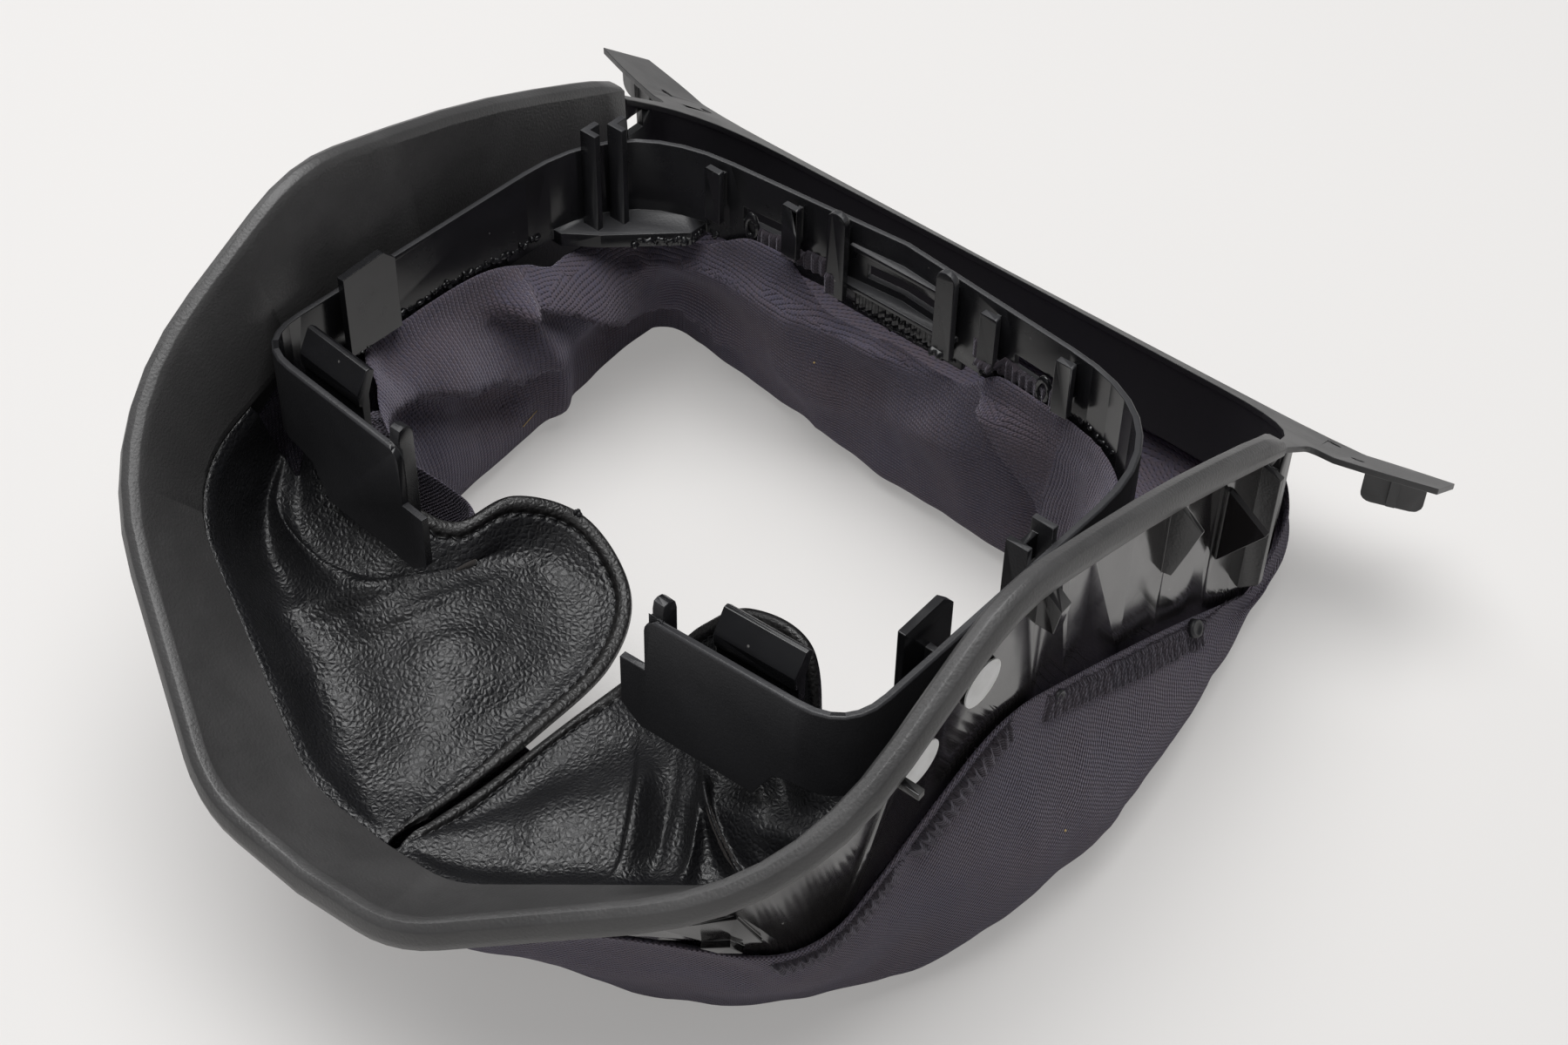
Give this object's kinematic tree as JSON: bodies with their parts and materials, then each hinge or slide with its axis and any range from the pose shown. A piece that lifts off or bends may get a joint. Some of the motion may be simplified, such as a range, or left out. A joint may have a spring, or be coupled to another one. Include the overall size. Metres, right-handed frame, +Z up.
{
  "type": "steering column cover",
  "caption": "Moulded surround with a rear fixing bridge, a column collar, split leather apron and a knitted sleeve that closes the gap round the column.",
  "frame": {"origin": "middle of the bounding box at the level of the table the sleeve lies on", "axes": "+Z up from the table, +Y to the bridge with the two ears, +X to the side with the two paper dots"},
  "size_m": [0.2912, 0.2956, 0.1362],
  "materials": {
    "grained_black_plastic": "fine grained satin",
    "smooth_black_plastic": "smooth satin",
    "collar_black_plastic": "smooth, half gloss",
    "black_leather": "pebbled, half matte",
    "plum_grey_knit": "fine ribbed jersey",
    "white_paper": "matt paper"
  },
  "bodies": {
    "root": {"surround_shell": "grained_black_plastic", "back_bridge": "smooth_black_plastic", "column_collar": "collar_black_plastic", "leather_left": "black_leather", "leather_right": "black_leather", "knit_sleeve": "plum_grey_knit", "paper_dot_rear": "white_paper", "paper_dot_front": "white_paper"}
  },
  "joints": []
}
